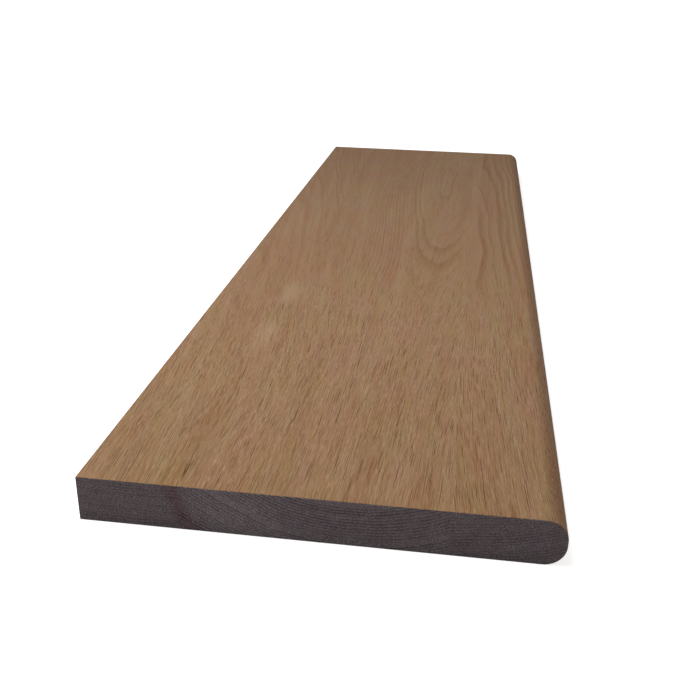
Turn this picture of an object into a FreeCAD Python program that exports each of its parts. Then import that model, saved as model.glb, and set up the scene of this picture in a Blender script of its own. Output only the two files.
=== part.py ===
"""Solid oak stair tread with a rounded nosing.

One board, planed to thickness. Its front edge is run round, top and bottom, into a nosing.
Its back edge and both ends are cut square, and their sharp corners are eased by hand.
Millimetres. The board lies flat, as it does on its stair: +Z up, +X towards the nosing,
+Y along the step. The origin is the centre of the underside.
"""
import FreeCAD, Part
import math
import os

# Driving dimensions of the board
TREAD_LENGTH = 914.4
TREAD_DEPTH = 260.35
TREAD_THICKNESS = 27.0

# The nosing: one round-over cutter is run along the top and the bottom of the front edge
NOSE_RADIUS = 12.0
# The thinnest band that the two passes of the cutter may leave upright between them
LEAST_NOSE_BAND = 0.5

# Eased corners of the back edge and of the two sawn ends
ARRIS_RADIUS = 0.6

# Places that follow from the driving dimensions
BACK_X = -TREAD_DEPTH / 2.0
FRONT_X = TREAD_DEPTH / 2.0
NEAR_END_Y = -TREAD_LENGTH / 2.0
FAR_END_Y = TREAD_LENGTH / 2.0
UNDERSIDE_Z = 0.0
TOP_Z = UNDERSIDE_Z + TREAD_THICKNESS

# An edge this close to a plane lies on it
ON_PLANE = 0.001
# Degrees turned by each round of the nosing, from an upright face to a level one
QUARTER_TURN = 90.0


def section_point(x, z):
    """A point of the board's section, in the plane of the near end."""
    return FreeCAD.Vector(x, NEAR_END_Y, z)


def straight(start, end):
    return Part.LineSegment(start, end).toShape()


def quarter_round(centre, radius, start_angle):
    """A quarter circle of the section, turning from the front of the board towards its top."""

    def rim(angle):
        turn = math.radians(angle)
        return centre + FreeCAD.Vector(radius * math.cos(turn), 0.0, radius * math.sin(turn))

    middle_angle = start_angle + QUARTER_TURN / 2.0
    end_angle = start_angle + QUARTER_TURN
    return Part.Arc(rim(start_angle), rim(middle_angle), rim(end_angle)).toShape()


def tread_section():
    """The section across the board: square at the back, rounded top and bottom at the front."""
    radius = min(NOSE_RADIUS, (TREAD_THICKNESS - LEAST_NOSE_BAND) / 2.0)
    round_start_x = FRONT_X - radius
    lower_centre_z = UNDERSIDE_Z + radius
    upper_centre_z = TOP_Z - radius
    outline = [
        straight(section_point(BACK_X, UNDERSIDE_Z), section_point(round_start_x, UNDERSIDE_Z)),
        quarter_round(section_point(round_start_x, lower_centre_z), radius, -QUARTER_TURN),
        straight(section_point(FRONT_X, lower_centre_z), section_point(FRONT_X, upper_centre_z)),
        quarter_round(section_point(round_start_x, upper_centre_z), radius, 0.0),
        straight(section_point(round_start_x, TOP_Z), section_point(BACK_X, TOP_Z)),
        straight(section_point(BACK_X, TOP_Z), section_point(BACK_X, UNDERSIDE_Z)),
    ]
    return Part.Face(Part.Wire(outline))


def is_square_corner(edge):
    """True for an edge of the back face or of either end, which are the faces cut square."""
    box = edge.BoundBox
    on_back = abs(box.XMin - BACK_X) < ON_PLANE and abs(box.XMax - BACK_X) < ON_PLANE
    on_near_end = abs(box.YMin - NEAR_END_Y) < ON_PLANE and abs(box.YMax - NEAR_END_Y) < ON_PLANE
    on_far_end = abs(box.YMin - FAR_END_Y) < ON_PLANE and abs(box.YMax - FAR_END_Y) < ON_PLANE
    return on_back or on_near_end or on_far_end


def make_tread():
    board = tread_section().extrude(FreeCAD.Vector(0.0, TREAD_LENGTH, 0.0))
    square_corners = [edge for edge in board.Edges if is_square_corner(edge)]
    return board.makeFillet(ARRIS_RADIUS, square_corners)


os.makedirs("parts", exist_ok=True)
tread = make_tread()
tread.exportStep("parts/tread.step")
print("tread:", len(tread.Solids), "solid, valid", tread.isValid(), "volume", round(tread.Volume), "mm3")
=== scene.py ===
# %% [markdown]
# # A solid oak stair tread
# A stair tread is the board that you step on. This one is solid oak: planed flat, sanded, and
# run round along its front edge, which carpenters call the nosing. Its back edge and its two
# ends are cut square, and nothing is drilled or grooved.
# The exact solid is already drawn, so this lesson loads it first and takes its length, depth,
# thickness and place from there. It then makes a board and an oak that stand up to a close look.

# %% Load the measured board
import math

import bmesh
import bpy
from mathutils import Matrix, Vector


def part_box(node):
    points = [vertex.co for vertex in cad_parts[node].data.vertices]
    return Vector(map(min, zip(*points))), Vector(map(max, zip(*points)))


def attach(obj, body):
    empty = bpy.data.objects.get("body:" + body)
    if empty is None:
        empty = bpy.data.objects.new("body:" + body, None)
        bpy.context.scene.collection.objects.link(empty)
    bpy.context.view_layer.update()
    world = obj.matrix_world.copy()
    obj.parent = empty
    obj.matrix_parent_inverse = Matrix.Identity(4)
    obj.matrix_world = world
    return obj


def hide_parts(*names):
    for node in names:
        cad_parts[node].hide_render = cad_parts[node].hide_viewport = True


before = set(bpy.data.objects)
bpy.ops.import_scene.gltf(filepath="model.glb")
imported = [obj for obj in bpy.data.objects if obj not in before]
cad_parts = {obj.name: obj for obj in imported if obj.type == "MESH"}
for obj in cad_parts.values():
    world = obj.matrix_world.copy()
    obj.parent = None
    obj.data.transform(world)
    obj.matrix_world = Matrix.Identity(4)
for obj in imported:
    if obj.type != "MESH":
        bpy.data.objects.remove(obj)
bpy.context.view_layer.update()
MM = 0.001
low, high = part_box("tread")
size = high - low
middle = (low + high) / 2
print("tread: depth, length, thickness in mm", [round(side / MM, 2) for side in size])

# %% [markdown]
# ## The board
# A joiner starts from a sawn board and takes wood away, and the model does the same: it starts
# as a cube at the board's full size. A sweep along a drawn section would give the same shape,
# but bevels on a block keep clean rows of faces, and each can be changed by itself.

# %% Start from a plain block
bpy.ops.object.select_all(action="DESELECT")
bpy.ops.mesh.primitive_cube_add(size=1.0, location=middle, scale=size)
board = bpy.context.object
board.name = "tread_board"
bpy.ops.object.transform_apply(location=True, rotation=True, scale=True)
print("block:", len(board.data.vertices), "corners")

# %% [markdown]
# The nosing is cut with a round-over bit, run along the top and the bottom of the front edge,
# which leaves a narrow upright band between the two rounds. A bevel with many segments is that
# bit. Its two edges are found by their place, so the choice holds for a board of any length.

# %% Round the nosing
NOSE_RADIUS = 12.0 * MM
NOSE_STEPS = 14
# The bevel profile that is a true arc: a higher one bulges and a lower one flattens it
TRUE_ARC = 0.5
TOUCHING = 0.01 * MM


def select_edges(piece, wanted):
    """In edit mode, select just the edges whose two end points satisfy wanted."""
    bpy.ops.mesh.select_all(action="DESELECT")
    bpy.ops.mesh.select_mode(type="EDGE")
    cage = bmesh.from_edit_mesh(piece.data)
    for edge in cage.edges:
        edge.select_set(wanted(edge.verts[0].co, edge.verts[1].co))
    bmesh.update_edit_mesh(piece.data)
    return sum(edge.select for edge in cage.edges)


def along_front(start, end):
    """True for an edge that runs along the front of the board."""
    return min(start.x, end.x) > high.x - TOUCHING and abs(start.y - end.y) > size.y / 2


bpy.ops.object.mode_set(mode="EDIT")
front_edges = select_edges(board, along_front)
bpy.ops.mesh.bevel(offset=NOSE_RADIUS, segments=NOSE_STEPS, profile=TRUE_ARC, affect="EDGES")
print("nosing:", front_edges, "edges rounded to", NOSE_RADIUS / MM, "mm")

# %% [markdown]
# Sharp corners splinter, so a pass of abrasive takes them off along the back edge and round both
# ends. A second, tiny bevel does the same. It is hardly wider than a line, but it catches the
# light as a real corner does, and a perfectly sharp one never would.

# %% Ease the square corners
ARRIS = 0.6 * MM
ARRIS_STEPS = 3


def on_square_face(start, end):
    """True for an edge of the back face or of either end, which are cut square."""
    on_back = max(start.x, end.x) < low.x + TOUCHING
    on_near_end = max(start.y, end.y) < low.y + TOUCHING
    on_far_end = min(start.y, end.y) > high.y - TOUCHING
    return on_back or on_near_end or on_far_end


square_edges = select_edges(board, on_square_face)
bpy.ops.mesh.bevel(offset=ARRIS, segments=ARRIS_STEPS, profile=TRUE_ARC, affect="EDGES")
bpy.ops.object.mode_set(mode="OBJECT")
print("arrises:", square_edges, "edges eased by", ARRIS / MM, "mm")

# %% [markdown]
# A rounded edge beside a large flat face needs care with its shading: plain smooth shading lets
# the curve's normals bend the look of the whole flat. Weighted normals give the large face the
# last word, so the flats stay flat and the rounds stay round.

# %% Shade the curves smooth and the flats flat
SMOOTH_UP_TO = math.radians(40)
bpy.ops.object.shade_smooth_by_angle(angle=SMOOTH_UP_TO)
weighted = board.modifiers.new("flat_faces_rule", "WEIGHTED_NORMAL")
weighted.keep_sharp = True
bpy.ops.object.modifier_apply(modifier=weighted.name)
print("board:", len(board.data.polygons), "faces")

# %% [markdown]
# ## A map of the board's skin
# The oak itself is solid: its pattern is worked out in three dimensions, so it needs no map.
# A map still helps whoever bakes the oak into a picture. An automatic unwrap would turn the
# sides every which way, so the skin is laid out one by one in upright strips, the long sides with
# the grain, and the top gets the widest strip because it is looked at most. Each strip is a
# start and a width across the picture, from 0 to 1.

# %% Lay the skin out in strips
STRIPS = {
    "top": (0.005, 0.475),
    "nose": (0.490, 0.080),
    "underside": (0.580, 0.280),
    "back": (0.870, 0.045),
    "near_end": (0.925, 0.070),
    "far_end": (0.925, 0.070),
}
STRIP_FOOT, STRIP_HEIGHT = 0.005, 0.990
END_HEIGHT, FAR_END_FOOT = 0.490, 0.505
# A face belongs to a side when its normal has more than this share in the side's direction
MOSTLY = 0.5
nose_start = high.x - NOSE_RADIUS


def side_of(face):
    """Name the side of the board that a face belongs to, by its normal and its place."""
    if abs(face.normal.y) > MOSTLY:
        return "near_end" if face.normal.y < 0 else "far_end"
    if face.center.x > nose_start:
        return "nose"
    if face.normal.x < -MOSTLY:
        return "back"
    return "top" if face.normal.z > 0 else "underside"


def place_on_map(side, point):
    """Where a point of that side lies on the map."""
    start, width = STRIPS[side]
    deep = (point.x - low.x) / size.x
    along = (point.y - low.y) / size.y
    tall = (point.z - low.z) / size.z
    if side == "near_end":
        return start + width * tall, STRIP_FOOT + END_HEIGHT * deep
    if side == "far_end":
        return start + width * tall, FAR_END_FOOT + END_HEIGHT * deep
    if side == "nose":
        turn = math.atan2(point.z - middle.z, point.x - nose_start)
        across = (turn + math.pi / 2) / math.pi
    elif side == "back":
        across = tall
    else:
        across = (point.x - low.x) / (nose_start - low.x)
    return start + width * across, STRIP_FOOT + STRIP_HEIGHT * along


skin = board.data.uv_layers[0]
skin.name = "OFBake"
for face in board.data.polygons:
    side = side_of(face)
    for corner in face.loop_indices:
        point = board.data.vertices[board.data.loops[corner].vertex_index].co
        skin.uv[corner].vector = place_on_map(side, point)
print("skin map:", len(skin.uv), "corners placed")

# %% [markdown]
# The new board stands for the solid one: same place, same size, so it rides on the same body.

# %% Hand the board to the frame
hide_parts("tread")
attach(board, "root")
print("handed over:", board.name)

# %% [markdown]
# ## Oak
# Oak is ring-porous: each spring lays down a band of wide vessels and each summer a band of
# dense fibre. Cut along the trunk, the vessels open as short dark dashes, and the rings show as
# long arches where the saw meets them at a slant. Cut across, the same vessels are dots strung
# on arcs. A picture wrapped round the board would never agree at the corners, so this oak is a
# solid: every pattern is a function of the place inside the board, measured in millimetres.
# Three helpers keep the nodes short: one for colours, one for an empty tree, one for any node.

# %% Three small helpers
# The sRGB standard is a straight line for the darkest tones and a power for all the others
LINE_UP_TO, LINE_SLOPE = 0.04045, 12.92
POWER, POWER_OFFSET = 2.4, 0.055
WHITE_LEVEL = 255


def linear(code):
    """Turn an sRGB hex colour into the linear colour that the renderer works in."""
    mixed = []
    for level in bytes.fromhex(code[1:]):
        tone = level / WHITE_LEVEL
        if tone <= LINE_UP_TO:
            mixed.append(tone / LINE_SLOPE)
        else:
            mixed.append(((tone + POWER_OFFSET) / (1 + POWER_OFFSET)) ** POWER)
    return mixed + [1.0]


def empty_tree(owner):
    """The node tree of a material or a world, switched on and cleared for new nodes."""
    owner.use_nodes = True
    owner.node_tree.nodes.clear()
    return owner.node_tree


def add(kind, links, **settings):
    """Add a node with its settings, and feed its named or numbered inputs from sockets or values."""
    made = tree.nodes.new("ShaderNode" + kind)
    for setting, value in settings.items():
        setattr(made, setting, value)
    for name, source in links.items():
        if isinstance(source, bpy.types.NodeSocket):
            tree.links.new(source, made.inputs[name])
        else:
            made.inputs[name].default_value = source
    return made.outputs


# %% [markdown]
# The material is named for the wood and for how its surface was made. Oak that is only sanded
# has no film over it: to the eye it is dull, a little rough, and its pores stay open.

# %% Give the board its oak
oak = bpy.data.materials.new("oak_sanded")
tree = empty_tree(oak)
board.data.materials.clear()
board.data.materials.append(oak)
print("material:", oak.name)

# %% [markdown]
# ### Staves
# A board this deep is usually glued up from narrower staves, each sawn from its own log. The
# joints are too tight to see, but the figure changes at them. They run straight along the board,
# so a stave is known by its place across the depth, and a choice is two mixes: back or middle,
# and then that or nose.

# %% Measure in millimetres and find the stave
# Where the two joints lie across the board, from its middle
BACK_JOINT, NOSE_JOINT = -74.0, 70.0
NEAR_END = low.y / MM
# A Mix node numbers its sockets through all kinds of value: these are the ones for vectors
VECTOR_A, VECTOR_B, VECTOR_MIXED = 4, 5, 1

place = add("VectorMath", {0: add("TexCoord", {})["Object"], "Scale": 1 / MM}, operation="SCALE")[0]
across, along, upward = add("SeparateXYZ", {0: place})[:]
run = add("Math", {0: along, 1: NEAR_END}, operation="SUBTRACT")[0]
past_back = add("Math", {0: across, 1: BACK_JOINT}, operation="GREATER_THAN")[0]
past_nose = add("Math", {0: across, 1: NOSE_JOINT}, operation="GREATER_THAN")[0]


def by_stave(choices):
    """The vector of the stave that a place is in, out of one for each stave."""
    links = {0: past_back, VECTOR_A: choices["back"], VECTOR_B: choices["middle"]}
    first = add("Mix", links, data_type="VECTOR")[VECTOR_MIXED]
    links = {0: past_nose, VECTOR_A: first, VECTOR_B: choices["nose"]}
    return add("Mix", links, data_type="VECTOR")[VECTOR_MIXED]


edges = (low.x / MM, BACK_JOINT, NOSE_JOINT, high.x / MM)
print("staves: widths in mm", [round(end - start, 1) for start, end in zip(edges, edges[1:])])

# %% [markdown]
# ### The run of the fibres
# No tree grows quite straight, so its fibres and rings wander by a millimetre or two. A slow
# noise moves every place a little before anything is drawn there. Rings and grain are then both
# drawn in this wandering wood, and so they stay together.

# %% Let the wood wander
# A noise swings about the middle of its range, and each step of detail adds a finer copy to it
NOISE_MIDDLE = 0.5
WANDER = (7.0, 0.0, 4.5)
WANDER_CELL = (60.0, 260.0, 60.0)
WANDER_DETAIL = 1.5

slow_place = add("VectorMath", {0: place, 1: WANDER_CELL}, operation="DIVIDE")[0]
slow_noise = add("TexNoise", {"Vector": slow_place, "Scale": 1.0, "Detail": WANDER_DETAIL})["Color"]
slow_swing = add("VectorMath", {0: slow_noise, 1: [NOISE_MIDDLE] * 3}, operation="SUBTRACT")[0]
wood = add("VectorMath", {0: slow_swing, 1: WANDER, 2: place}, operation="MULTIPLY_ADD")[0]
wood_across, wood_along, wood_up = add("SeparateXYZ", {0: wood})[:]
print("wander: about every", WANDER_CELL[1], "mm along the board")

# %% [markdown]
# In each stave the fibres lean to one side, and past the first hand's length they bend. In the
# middle stave they also fan out, as they do towards the swelling foot of a tree. Bending every
# vessel would be hard. Undoing lean, bend and fan for the place gives a straight grain instead,
# and vessels and fibre are drawn in that.

# %% Straighten the fibres
BEND_START, BEND_SOFTNESS = 165.0, 260.0
FAN_AXIS = -20.0
# For each stave: lean, further lean past the bend, and fan for each mm past it
HABITS = {
    "back": (-0.080, -0.015, 0.0000),
    "middle": (0.025, -0.100, 0.0027),
    "nose": (-0.075, 0.080, 0.0000),
}

bent_run = add("Math", {0: run, 1: BEND_START}, operation="SUBTRACT")[0]
past_bend = add("Math", {0: bent_run, 1: 0.0, 2: BEND_SOFTNESS}, operation="SMOOTH_MAX")[0]
lean, bend, fan = add("SeparateXYZ", {0: by_stave(HABITS)})[:]
lean_shift = add("Math", {0: lean, 1: run}, operation="MULTIPLY")[0]
shift = add("Math", {0: bend, 1: past_bend, 2: lean_shift}, operation="MULTIPLY_ADD")[0]
off_axis = add("Math", {0: wood_across, 1: FAN_AXIS}, operation="SUBTRACT")[0]
upright_fibre = add("Math", {0: off_axis, 1: shift}, operation="SUBTRACT")[0]
fanned = add("Math", {0: fan, 1: past_bend, 2: 1.0}, operation="MULTIPLY_ADD")[0]
straight = add("Math", {0: upright_fibre, 1: fanned}, operation="DIVIDE")[0]
grain = add("CombineXYZ", {"X": straight, "Y": wood_along, "Z": wood_up})[0]
print("grain: straightened in", len(HABITS), "staves")

# %% [markdown]
# ### Rings
# Each stave also has its place in its log. The pith, the centre of the rings, is a line, and a
# Mapping node of the texture kind moves and turns the pattern so that the pith is its Y axis.
# Round a straight pith the rings would meet the top in long lines. The middle stave's log was
# bent, so its pith swings aside and drops, and there the rings meet the top in arches.

# %% Put each stave in its log
# For each stave: a point of its pith in mm, and how far the pith leans up and sideways
LOGS = {
    "back": ((-100.0, -457.0, 215.0), (1.2, 4.5)),
    "middle": ((18.0, -457.0, 131.1), (0.0, 0.0)),
    "nose": ((52.0, -457.0, 280.0), (0.3, 0.4)),
}
# Along these runs the middle stave's pith swings aside and drops, in mm
SWING_OVER, SWING = (0.0, 460.0), 26.0
DROP_OVER, DROP = (300.0, 700.0), -9.0
bends = {}
for name, (first, last), amount in (("aside", SWING_OVER, SWING), ("down", DROP_OVER, DROP)):
    links = {"Value": run, "From Min": first, "From Max": last, "To Max": amount}
    bends[name] = add("MapRange", links, interpolation_type="SMOOTHSTEP")[0]
bent_pith = add("CombineXYZ", {"X": bends["aside"], "Z": bends["down"]})[0]
unbent = add("VectorMath", {0: wood, 1: bent_pith}, operation="SUBTRACT")[0]
in_log = {}
for stave, (pith, (rise, turn)) in LOGS.items():
    tilt = (math.radians(rise), 0.0, math.radians(turn))
    links = {"Vector": unbent if stave == "middle" else wood, "Location": pith, "Rotation": tilt}
    in_log[stave] = add("Mapping", links, vector_type="TEXTURE")[0]
    print(stave, "stave: pith about", round(pith[2] - high.z / MM), "mm above the top")
log = by_stave(in_log)

# %% [markdown]
# A place's ring is its distance from the pith, counted in ring widths, and a slow noise makes
# the rings thick and thin. The fraction of a ring is a clock for the year: spring wood comes in
# quickly where last year's summer wood stops, and then fades out. A colour ramp draws that,
# because its stops can be moved one by one.

# %% Count the rings outwards from the pith
RING_WIDTH = 1.8
# How far the noise moves a ring, in ring widths from its least to its most
RING_WOBBLE = 2.0
WOBBLE_CELL = (36.0, 210.0, 36.0)
WOBBLE_DETAIL = 2.0
# The pith is the Y axis of its log, so only the other two directions count as distance
OFF_THE_AXIS = (1.0, 0.0, 1.0)
# The part of the year that is past, and how much of the wood that grows then is spring wood
SPRING_FADE = [(0.0, 1.0), (0.20, 0.80), (0.55, 0.10), (0.84, 0.0), (1.0, 1.0)]

off_pith = add("VectorMath", {0: log, 1: OFF_THE_AXIS}, operation="MULTIPLY")[0]
radius = add("VectorMath", {0: off_pith}, operation="LENGTH")["Value"]
wobble_place = add("VectorMath", {0: log, 1: WOBBLE_CELL}, operation="DIVIDE")[0]
wobble = add("TexNoise", {"Vector": wobble_place, "Scale": 1.0, "Detail": WOBBLE_DETAIL})["Fac"]
rings_out = add("Math", {0: radius, 1: RING_WIDTH}, operation="DIVIDE")[0]
ring = add("Math", {0: wobble, 1: RING_WOBBLE, 2: rings_out}, operation="MULTIPLY_ADD")[0]
season = add("Math", {0: ring}, operation="FRACT")[0]
spring = add("ValToRGB", {"Fac": season})[0]
ramp = spring.node.color_ramp
for when, share in SPRING_FADE[1:-1]:
    ramp.elements.new(when)
for stop, (when, share) in zip(ramp.elements, SPRING_FADE):
    stop.position = when
    stop.color = (share, share, share, 1.0)
print("rings:", round(size.z / MM / RING_WIDTH), "in the thickness of the board")

# %% [markdown]
# Not all years are alike. A white noise that reads only the number of the ring gives each year
# its own weather: a good year lays down a strong band of spring wood, a poor one hardly any. The
# count starts at a number that puts two good years side by side where the arches lie.

# %% Tell good years from poor ones
POOR_YEAR, GOOD_YEAR = 0.1, 2.0
COUNT_FROM = 10835.0
full_rings = add("Math", {0: ring}, operation="FLOOR")[0]
year = add("Math", {0: full_rings, 1: COUNT_FROM}, operation="ADD")[0]
weather = add("TexWhiteNoise", {"W": year}, noise_dimensions="1D")["Value"]
links = {"Value": weather, "To Min": POOR_YEAR, "To Max": GOOD_YEAR}
growth = add("MapRange", links)[0]
spring_growth = add("Math", {0: spring, 1: growth}, operation="MULTIPLY")[0]
print("years: growth from", POOR_YEAR, "to", GOOD_YEAR, "times the usual")

# %% [markdown]
# ### Vessels
# A vessel is a fine tube along the grain. A cell texture, stretched along the grain, puts one
# thin spindle in each cell: a dash where the board is cut along it, a dot on the end. Most are
# fine and short, a few are bold and long, and in spring wood they are a little wider. They are
# drawn at about life size, round and a fifth to a quarter of a millimetre wide. The tissue that
# sheathes a vessel is paler than the fibre, which gives each dash a faint lip.

# %% Open the vessels
# For each kind: cell across and along the grain in mm, how much of a cell a vessel fills lengthwise,
# how many times thinner it is across, and how much it widens in spring
VESSELS = {
    "fine": (0.85, 36.0, 0.36, 3.4, 0.04),
    "bold": (2.10, 48.0, 0.36, 7.0, 0.06),
}
# How dark the palest vessel is, how much of a width is fully dark, and how far the lip reaches
LEAST_OPEN = 0.20
DARK_CORE = 0.75
LIP_REACH = 2.2
vessel = {}
lip = {}
for kind, (cell, cell_length, filled, thinner, spring_more) in VESSELS.items():
    links = {0: grain, 1: (cell, cell_length, cell / thinner)}
    vessel_place = add("VectorMath", links, operation="DIVIDE")[0]
    spindles = add("TexVoronoi", {"Vector": vessel_place, "Scale": 1.0})
    chance = add("SeparateColor", {0: spindles["Color"]})[0]
    luck = add("Math", {0: chance, 1: 1.0 - LEAST_OPEN, 2: LEAST_OPEN}, operation="MULTIPLY_ADD")[0]
    off_centre = add("VectorMath", {0: vessel_place, 1: spindles["Position"]}, operation="SUBTRACT")[0]
    thinned = add("VectorMath", {0: off_centre, 1: (thinner, 1.0, 1.0)}, operation="MULTIPLY")[0]
    gap = add("VectorMath", {0: thinned}, operation="LENGTH")["Value"]
    rim = add("Math", {0: spring, 1: spring_more, 2: filled}, operation="MULTIPLY_ADD")[0]
    core = add("Math", {0: rim, 1: DARK_CORE}, operation="MULTIPLY")[0]
    links = {"Value": gap, "From Min": rim, "From Max": core, "To Max": luck}
    vessel[kind] = add("MapRange", links, interpolation_type="SMOOTHSTEP")[0]
    outside = add("Math", {0: rim, 1: LIP_REACH}, operation="MULTIPLY")[0]
    links = {"Value": gap, "From Min": outside, "From Max": rim, "To Max": luck}
    lip[kind] = add("MapRange", links, interpolation_type="SMOOTHSTEP")[0]
    width, length = 2 * filled * cell / thinner, 2 * filled * cell_length
    print(kind, "vessels:", round(width, 2), "mm wide, up to", round(length), "mm long")

# %% [markdown]
# ### Rays
# A ray is a thin upright ribbon from the pith outwards, so it is drawn in ring coordinates: thin
# round the ring, tall along the grain, deep along the radius. On the sawn ends rays are fine
# paler lines that cross the rings.

# %% Stand the rays on edge
RAY_CELL = (1.6, 40.0, 16.0)
RAY_HALF_WIDTH, RAY_CORE = 0.16, 0.06
MEAN_RADIUS = 120.0
log_across, log_along, log_up = add("SeparateXYZ", {0: log})[:]
height_off_pith = add("Math", {0: log_up}, operation="ABSOLUTE")[0]
angle = add("Math", {0: log_across, 1: height_off_pith}, operation="ARCTAN2")[0]
round_ring = add("Math", {0: angle, 1: MEAN_RADIUS}, operation="MULTIPLY")[0]
ring_place = add("CombineXYZ", {"X": round_ring, "Y": log_along, "Z": radius})[0]
ray_place = add("VectorMath", {0: ring_place, 1: RAY_CELL}, operation="DIVIDE")[0]
ribbons = add("TexVoronoi", {"Vector": ray_place, "Scale": 1.0})["Distance"]
links = {"Value": ribbons, "From Min": RAY_HALF_WIDTH, "From Max": RAY_CORE}
ray = add("MapRange", links, interpolation_type="SMOOTHSTEP")[0]
print("rays: up to", round(2 * RAY_HALF_WIDTH * RAY_CELL[0], 2), "mm thick")

# %% [markdown]
# ### Fibre, streaks and bands
# Between the vessels the fibre is finely streaked, and threads of it run on for a few
# centimetres. Broader streaks and bands come from slow and fast growth, hue, blush and gold
# change the colour from place to place, and sawn ends are mottled. All eight are the same
# stretched noise with another cell, so a loop makes them. A real fibre is about 0.02 mm thick,
# which is far too fine to show here, so the finest layer is drawn many times coarser.

# %% Streak the fibre
# For each layer: its cell across the grain, along it and upwards, in mm
LAYERS = {
    "fibre": (0.34, 6.0, 0.34),
    "thread": (0.40, 60.0, 0.40),
    "streak": (2.6, 150.0, 2.6),
    "band": (11.0, 330.0, 14.0),
    "hue": (24.0, 260.0, 24.0),
    "mottle": (0.70, 20.0, 0.55),
    "blush": (7.0, 60.0, 7.0),
    "gold": (6.4, 50.0, 6.4),
}
LAYER_DETAIL = 2.0
layer = {}
for name, cell in LAYERS.items():
    layer_place = add("VectorMath", {0: grain, 1: cell}, operation="DIVIDE")[0]
    noise = add("TexNoise", {"Vector": layer_place, "Scale": 1.0, "Detail": LAYER_DETAIL})["Fac"]
    layer[name] = add("Math", {0: noise, 1: NOISE_MIDDLE}, operation="SUBTRACT")[0]
print("layers:", *layer)

# %% [markdown]
# ### A stain and two pale spots
# No board is quite even. A dark mineral stain runs in from the near end beside the back joint.
# It slants down through the board, and on the sawn end paler wood lies next to it. Two pale
# spots lie further along the same joint. They could be painted on a picture, but as distances
# from a line or a point, softened by a smooth step, they go through the wood as the rest does.

# %% Mark the stain
TOP_FACE = high.z / MM
STAIN_AT, STAIN_SLANT = -78.0, 0.37
STAIN_HALF, STAIN_REACH = 8.0, 130.0
PALE_BESIDE, PALE_HALF = 34.0, 45.0

depth_below = add("Math", {0: TOP_FACE, 1: upward}, operation="SUBTRACT")[0]
links = {0: depth_below, 1: STAIN_SLANT, 2: STAIN_AT}
stain_line = add("Math", links, operation="MULTIPLY_ADD")[0]
off_stain = add("Math", {0: wood_across, 1: stain_line}, operation="SUBTRACT")[0]
links = {"Value": run, "From Min": STAIN_REACH, "From Max": 0.0}
near_fade = add("MapRange", links, interpolation_type="SMOOTHSTEP")[0]
stain_gap = add("Math", {0: off_stain}, operation="ABSOLUTE")[0]
links = {"Value": stain_gap, "From Min": STAIN_HALF, "From Max": 0.0, "To Max": near_fade}
stain = add("MapRange", links, interpolation_type="SMOOTHSTEP")[0]
pale_side = add("Math", {0: off_stain, 1: PALE_BESIDE}, operation="SUBTRACT")[0]
pale_gap = add("Math", {0: pale_side}, operation="ABSOLUTE")[0]
links = {"Value": pale_gap, "From Min": PALE_HALF, "From Max": 0.0, "To Max": near_fade}
pale = add("MapRange", links, interpolation_type="SMOOTHSTEP")[0]
print("stain: runs in for", STAIN_REACH, "mm")

# %% Mark the pale spots
PATCH_PLACES = ((-74.0, -156.0, 27.0), (-75.0, -244.0, 27.0))
PATCH_HALF = (11.0, 40.0, 40.0)
PATCH_CORE = 0.2
patch = 0.0
for centre in PATCH_PLACES:
    patch_off = add("VectorMath", {0: wood, 1: centre}, operation="SUBTRACT")[0]
    patch_place = add("VectorMath", {0: patch_off, 1: PATCH_HALF}, operation="DIVIDE")[0]
    patch_gap = add("VectorMath", {0: patch_place}, operation="LENGTH")["Value"]
    links = {"Value": patch_gap, "From Min": 1.0, "From Max": PATCH_CORE}
    pale_spot = add("MapRange", links, interpolation_type="SMOOTHSTEP")[0]
    patch = add("Math", {0: patch, 1: pale_spot}, operation="MAXIMUM")[0]
print("pale spots:", len(PATCH_PLACES))

# %% [markdown]
# ### How strongly the rings show
# A face cut along the rings shows them faintly, and a sawn end shows them clearly, but in
# patches. The staves differ as well. On the faces the figure comes in along the board, from
# next to nothing at the near end, and it goes quiet beside the joint at the nosing. One weight
# for each stave, times one soft fade for each of these, says all that.

# %% Weigh the rings in each stave
# For each stave: how much its spring wood darkens the faces and the ends, and how much darker its ends
# are
MARKS = {
    "back": (0.05, 0.12, 0.15),
    "middle": (0.068, 0.25, 0.09),
    "nose": (0.13, 0.16, 0.14),
}
FIGURE_FROM, FIGURE_FULL, FIGURE_LEAST = 260.0, 430.0, 0.12
JOINT_QUIET = 16.0
PATCHY_SWING, PATCHY_MIDDLE = 3.0, 0.9
on_faces, on_ends, end_tone = add("SeparateXYZ", {0: by_stave(MARKS)})[:]
links = {"Value": run, "From Min": FIGURE_FROM, "From Max": FIGURE_FULL, "To Min": FIGURE_LEAST}
figure_fade = add("MapRange", links, interpolation_type="SMOOTHSTEP")[0]
off_joint = add("Math", {0: across, 1: NOSE_JOINT}, operation="SUBTRACT")[0]
joint_gap = add("Math", {0: off_joint}, operation="ABSOLUTE")[0]
links = {"Value": joint_gap, "From Max": JOINT_QUIET, "To Max": figure_fade}
joint_fade = add("MapRange", links, interpolation_type="SMOOTHSTEP")[0]
spring_here = add("Math", {0: spring_growth, 1: joint_fade}, operation="MULTIPLY")[0]
face_figure = add("Math", {0: spring_here, 1: on_faces}, operation="MULTIPLY")[0]
links = {0: layer["gold"], 1: PATCHY_SWING, 2: PATCHY_MIDDLE}
patchy = add("Math", links, operation="MULTIPLY_ADD", use_clamp=True)[0]
end_rings = add("Math", {0: spring_growth, 1: on_ends}, operation="MULTIPLY")[0]
end_figure = add("Math", {0: end_rings, 1: patchy}, operation="MULTIPLY")[0]
print("figure: full from", FIGURE_FULL, "mm on")

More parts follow.
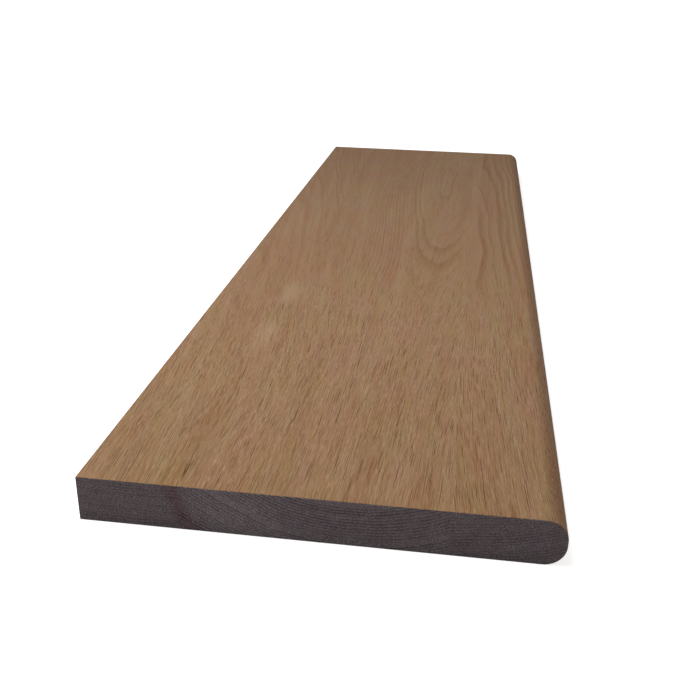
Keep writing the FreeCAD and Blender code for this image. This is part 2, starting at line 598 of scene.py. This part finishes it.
# %% [markdown]
# ### Open and closed pores
# At the near end the pores are wide open. Along the board they close, and what is left of them
# at the far end is a faint streak. They are mostly closed in the pale spots too, and a little
# fainter towards the nosing. Each fine pattern has its own fade along the run, because bold
# vessels close sooner than fine ones, and the two other fades hold for all of them.

# %% Close the pores towards the far end
# For each pattern: its share, where it starts to close and where it is closed, and what is left there
FINE_SHARES = [
    (layer["fibre"], 0.62, 90.0, 520.0, 0.12),
    (layer["thread"], 0.32, 120.0, 560.0, 0.26),
    (vessel["fine"], 2.15, 80.0, 520.0, 0.14),
    (vessel["bold"], 3.40, 60.0, 400.0, 0.05),
    (lip["fine"], -0.15, 80.0, 520.0, 0.14),
    (lip["bold"], -0.28, 60.0, 400.0, 0.05),
]
PATCH_CLOSES = 0.7
# Across the board: where the pores start to get fainter, where they are faintest, what is left there
DENSE_FROM, DENSE_FULL, DENSE_LEAVES = 0.0, 80.0, 0.88
patch_fade = add("Math", {0: patch, 1: -PATCH_CLOSES, 2: 1.0}, operation="MULTIPLY_ADD")[0]
fine_grain = 0.0
for pattern, share, open_up_to, closed_from, least in FINE_SHARES:
    links = {"Value": run, "From Min": closed_from, "From Max": open_up_to}
    links.update({"To Min": share * least, "To Max": share})
    here = add("MapRange", links, interpolation_type="SMOOTHSTEP")[0]
    fine_grain = add("Math", {0: pattern, 1: here, 2: fine_grain}, operation="MULTIPLY_ADD")[0]
links = {"Value": across, "From Min": DENSE_FROM, "From Max": DENSE_FULL}
links.update({"To Min": 1.0, "To Max": DENSE_LEAVES})
dense_fade = add("MapRange", links, interpolation_type="SMOOTHSTEP")[0]
for fade in (patch_fade, dense_fade):
    fine_grain = add("Math", {0: fine_grain, 1: fade}, operation="MULTIPLY")[0]
print("pores:", len(FINE_SHARES), "fine patterns weighed")

# %% [markdown]
# ### Painted shade on the nosing
# The nosing turns away from the light, and a shade more darkness is painted into its colour there.
# The way that the surface faces tells the nosing from the flat, so no second material is needed.

# %% Paint shade on the nosing
# Where the painted shade on the nosing starts and where it is full, as the normal turns sideways
NOSING_SHADE_FROM, NOSING_SHADE_FULL = 0.05, 0.40
normal_x, normal_y = add("SeparateXYZ", {0: add("TexCoord", {})["Normal"]})[:2]
links = {"Value": normal_x, "From Min": NOSING_SHADE_FROM, "From Max": NOSING_SHADE_FULL}
nosing_painted_shade = add("MapRange", links, interpolation_type="SMOOTHSTEP")[0]
print("burnish: full from", round(math.degrees(math.asin(NOSING_SHADE_FULL))), "degrees off the flat")

# %% [markdown]
# ### Colour along the grain
# The ground drifts between a yellower and a redder brown, with golden flecks. Towards the near end
# it is painted a little warmer, which leaves the far end greyer, as the sheen of a grazing view
# would: that is painted sheen. Flecks and warmth are multiplied in, as a thin glaze is, so they
# only ever take light away and never make the wood milky.

# %% Tint the ground
GROUND_YELLOW = linear("#96795e")
GROUND_RED = linear("#97735c")
HUE_SWING, BLUSH_SWING = 1.8, 2.6
GOLD = linear("#fffff0")
GOLD_SWING = 3.0
# Painted sheen: the near end is warmed, so the far end is left greyer as a grazing sheen makes it
SHEEN_PAINTED_WARMTH = linear("#fffbee")
SHEEN_PAINT_REACH, SHEEN_PAINT_FALL = 600.0, 2.0
# The share of the second colour where a noise is at its middle
HALF_AND_HALF = 0.5
# The Mix node's sockets for colours
COLOUR_A, COLOUR_B, COLOUR_MIXED = 6, 7, 2
hue_share = add("Math", {0: layer["hue"], 1: HUE_SWING, 2: HALF_AND_HALF}, operation="MULTIPLY_ADD")[0]
links = {0: layer["blush"], 1: BLUSH_SWING, 2: hue_share}
red_share = add("Math", links, operation="MULTIPLY_ADD", use_clamp=True)[0]
links = {0: red_share, COLOUR_A: GROUND_YELLOW, COLOUR_B: GROUND_RED}
ground = add("Mix", links, data_type="RGBA")[COLOUR_MIXED]
links = {0: layer["gold"], 1: GOLD_SWING, 2: HALF_AND_HALF}
gold_share = add("Math", links, operation="MULTIPLY_ADD", use_clamp=True)[0]
nearness = add("MapRange", {"Value": run, "From Min": SHEEN_PAINT_REACH, "From Max": 0.0})[0]
sheen_paint_share = add("Math", {0: nearness, 1: SHEEN_PAINT_FALL}, operation="POWER")[0]
for share, tint in ((gold_share, GOLD), (sheen_paint_share, SHEEN_PAINTED_WARMTH)):
    links = {0: share, COLOUR_A: ground, COLOUR_B: tint}
    ground = add("Mix", links, data_type="RGBA", blend_type="MULTIPLY")[COLOUR_MIXED]
print("ground: warmer over the first", SHEEN_PAINT_REACH, "mm")

# %% [markdown]
# Light that goes deeper into wood comes back darker and more saturated, and each doubling of the
# depth squares the colour. So the ground is raised to a power: about 1 is plain wood, more is
# darker. Every pattern just adds its share to that power, and they never fight over the colour.

# %% Deepen the long grain
LONG_DEPTH = 0.96
DEPTH_SHARES = [
    (fine_grain, 1.0),
    (layer["streak"], 0.16),
    (layer["band"], 0.20),
    (face_figure, 1.0),
    (stain, 0.10),
    (patch, -0.12),
    # painted shade on the nosing
    (nosing_painted_shade, 0.04),
]


def total_depth(plain, shares):
    """The plain depth with every pattern's share added to it."""
    depth = plain
    for pattern, share in shares:
        depth = add("Math", {0: pattern, 1: share, 2: depth}, operation="MULTIPLY_ADD")[0]
    return depth


long_grain = add("Gamma", {"Color": ground, "Gamma": total_depth(LONG_DEPTH, DEPTH_SHARES)})[0]
print("long grain:", len(DEPTH_SHARES), "patterns")

# %% [markdown]
# ### Colour of the sawn ends
# On an end the saw looks straight into the open tubes, which swallow light, so end grain is
# darker than the face. Its grey-purple cast is painted: it is the cool tint of the shade that the
# ends lie in. The same patterns drive it, with other shares: the rings count for more, and rays
# lighten it.

# %% Mix the end grain
# Painted shade tint: both end colours carry the cool grey-purple of shade over the darker end grain
END_GROUND_SHADE_TINTED = linear("#786d6f")
END_STAIN = linear("#736062")
END_DEPTH = 0.95
END_SHARES = [
    (end_tone, 1.0),
    (layer["fibre"], 1.60),
    (layer["mottle"], 1.40),
    (layer["band"], 0.15),
    (end_figure, 1.0),
    (vessel["fine"], 0.9),
    (vessel["bold"], 0.9),
    (ray, -0.12),
    (stain, 0.03),
    (pale, -0.10),
]
links = {0: stain, COLOUR_A: END_GROUND_SHADE_TINTED, COLOUR_B: END_STAIN}
end_ground_shade_tinted = add("Mix", links, data_type="RGBA")[COLOUR_MIXED]
end_grain = add("Gamma", {"Color": end_ground_shade_tinted, "Gamma": total_depth(END_DEPTH, END_SHARES)})[0]
print("end grain:", len(END_SHARES), "patterns")

# %% [markdown]
# Long grain and end grain meet on the eased corners. There the surface turns from face to end
# within a millimetre, so the way that it faces chooses between the two, with a short stretch
# of both.

# %% Choose by the way that the surface faces
SAWN_FROM, SAWN_FULL = 0.55, 0.85
endwise = add("Math", {0: normal_y}, operation="ABSOLUTE")[0]
links = {"Value": endwise, "From Min": SAWN_FROM, "From Max": SAWN_FULL}
sawn = add("MapRange", links, interpolation_type="SMOOTHSTEP")[0]
links = {0: sawn, COLOUR_A: long_grain, COLOUR_B: end_grain}
colour = add("Mix", links, data_type="RGBA")[COLOUR_MIXED]
print("sawn ends: end grain from", round(math.degrees(math.asin(SAWN_FULL))), "degrees off the face")

# %% [markdown]
# ### Feel
# Sanded bare oak is dull. Its fuzz of cut fibres scatters nearly all light, so it is rough and
# has hardly any gloss: the specular level lies far below the usual 0.5. Open vessels and sawn
# ends are rougher still, and the vessels lie a little below the surface, which the bump gives.

# %% Make the surface
BUMP_DEPTH = 0.08 * MM
BUMP_STRENGTH = 0.5
VESSEL_RISE = -1.0
PLAIN_ROUGHNESS, ROUGHER_BY = 0.60, 0.22
BARE_WOOD_GLOSS = 0.02
hollow = add("Math", {0: vessel["fine"], 1: vessel["bold"]}, operation="MAXIMUM")[0]
height = add("Math", {0: hollow, 1: VESSEL_RISE, 2: layer["fibre"]}, operation="MULTIPLY_ADD")[0]
links = {"Height": height, "Strength": BUMP_STRENGTH, "Distance": BUMP_DEPTH}
relief = add("Bump", links)[0]
dullest = add("Math", {0: hollow, 1: sawn}, operation="MAXIMUM")[0]
links = {0: dullest, 1: ROUGHER_BY, 2: PLAIN_ROUGHNESS}
roughness = add("Math", links, operation="MULTIPLY_ADD")[0]
links = {"Base Color": colour, "Roughness": roughness, "Normal": relief}
links["Specular IOR Level"] = BARE_WOOD_GLOSS
surface = add("BsdfPrincipled", links)[0]
add("OutputMaterial", {"Surface": surface})
print("oak:", len(tree.nodes), "nodes")

# %% [markdown]
# ## Floor
# A plain pale floor. To the eye it is lifted to white, as in a catalogue picture, whether it is
# seen straight or in a gloss. To the light it stays a pale grey, so it lights the board no more
# than a real floor would, and it keeps the board's shadow. Brighter lamps would whiten it too,
# but they would bleach the oak.

# %% Lay the floor
FLOOR_REACH = 60.0
FLOOR_PALE = linear("#ececec")
FLOOR_LIFT = 0.78


def seen_by_the_eye():
    """1 where the camera sees it, straight or by way of gloss or glass, and 0 where it gives light."""
    sight = add("LightPath", {})
    seen = add("Math", {0: sight["Is Camera Ray"], 1: sight["Is Glossy Ray"]}, operation="ADD")[0]
    links = {0: seen, 1: sight["Is Transmission Ray"]}
    return add("Math", links, operation="ADD", use_clamp=True)[0]


bpy.ops.object.select_all(action="DESELECT")
bpy.ops.mesh.primitive_plane_add(size=FLOOR_REACH, location=(0.0, 0.0, low.z - TOUCHING))
floor = bpy.context.object
floor.name = "floor"
floor_paint = bpy.data.materials.new("floor_paint")
tree = empty_tree(floor_paint)
matt = add("BsdfDiffuse", {"Color": FLOOR_PALE})[0]
lift = add("Math", {0: seen_by_the_eye(), 1: FLOOR_LIFT}, operation="MULTIPLY")[0]
glow = add("Emission", {"Strength": lift})[0]
add("OutputMaterial", {"Surface": add("AddShader", {0: matt, 1: glow})[0]})
floor.data.materials.append(floor_paint)
print("floor:", FLOOR_REACH, "m across")

# %% [markdown]
# ## Light
# Most of the light is broad and even and comes over the back edge, so the top is bright and the
# nosing turns into shade. A soft box hangs over the near half, so the far end is dimmer. The
# near end faces away from both lamps and stays in shade.

# %% Hang the lamps
WINDOW_FROM = Vector((-0.77, 0.10, 0.64))
WINDOW_SPREAD = math.radians(60)
WINDOW_LEVEL = 0.98
BOX_PLACE = (-0.24, -0.28, 0.78)
BOX_ACROSS, BOX_ALONG = 0.5, 0.7
BOX_WATTS = 4.4

facing_board = WINDOW_FROM.to_track_quat("Z", "Y").to_euler()
bpy.ops.object.light_add(type="SUN", rotation=facing_board)
window = bpy.context.object
window.name = "broad_window"
window.data.angle = WINDOW_SPREAD
window.data.energy = WINDOW_LEVEL
bpy.ops.object.light_add(type="AREA", location=BOX_PLACE)
soft_box = bpy.context.object
soft_box.name = "soft_box"
soft_box.data.shape = "RECTANGLE"
soft_box.data.size = BOX_ACROSS
soft_box.data.size_y = BOX_ALONG
soft_box.data.energy = BOX_WATTS
print("lamps:", window.name, "and", soft_box.name)

# %% [markdown]
# An even sky fills the shadows. It lights the board only weakly, but to the eye it is as white
# as the floor, so that a low view shows no edge where the floor ends.

# %% Light the sky
WORLD_LEVEL = 0.18
SKY_TO_THE_EYE = 1.0
SKY_WHITE = linear("#ffffff")
world = bpy.data.worlds.new("even_sky")
bpy.context.scene.world = world
tree = empty_tree(world)
links = {"Value": seen_by_the_eye(), "To Min": WORLD_LEVEL, "To Max": SKY_TO_THE_EYE}
strength = add("MapRange", links)[0]
sky = add("Background", {"Color": SKY_WHITE, "Strength": strength})[0]
add("OutputWorld", {"Surface": sky})
print("world:", world.name)

# %% [markdown]
# ## Camera
# The camera stands close to the near end and a little towards the nosing, looking down along
# the board, so the far end looks much smaller than the near one. Its aim is built from a turn, a
# look downwards and a slight roll, because those can be read and changed one by one.

# %% Set up the camera
CAMERA_PLACE = Vector((0.0683, -0.8478, 0.2862))
CAMERA_DOWN = math.radians(23.783)
CAMERA_TURN = math.radians(7.507)
CAMERA_ROLL = math.radians(1.100)
CAMERA_LENS, CAMERA_SENSOR = 46.486, 36.0
NEAREST_SEEN = 10.0 * MM
bpy.ops.object.camera_add(location=CAMERA_PLACE)
camera = bpy.context.object
aim = Matrix.Rotation(CAMERA_TURN, 3, "Z") @ Matrix.Rotation(math.pi / 2 - CAMERA_DOWN, 3, "X")
aim = aim @ Matrix.Rotation(CAMERA_ROLL, 3, "Z")
camera.rotation_euler = aim.to_euler()
camera.data.lens = CAMERA_LENS
camera.data.sensor_width = CAMERA_SENSOR
camera.data.clip_start = NEAREST_SEEN
bpy.context.scene.camera = camera
bpy.context.scene.view_settings.view_transform = "Standard"
print("camera:", round(low.y - CAMERA_PLACE.y, 2), "m before the near end")
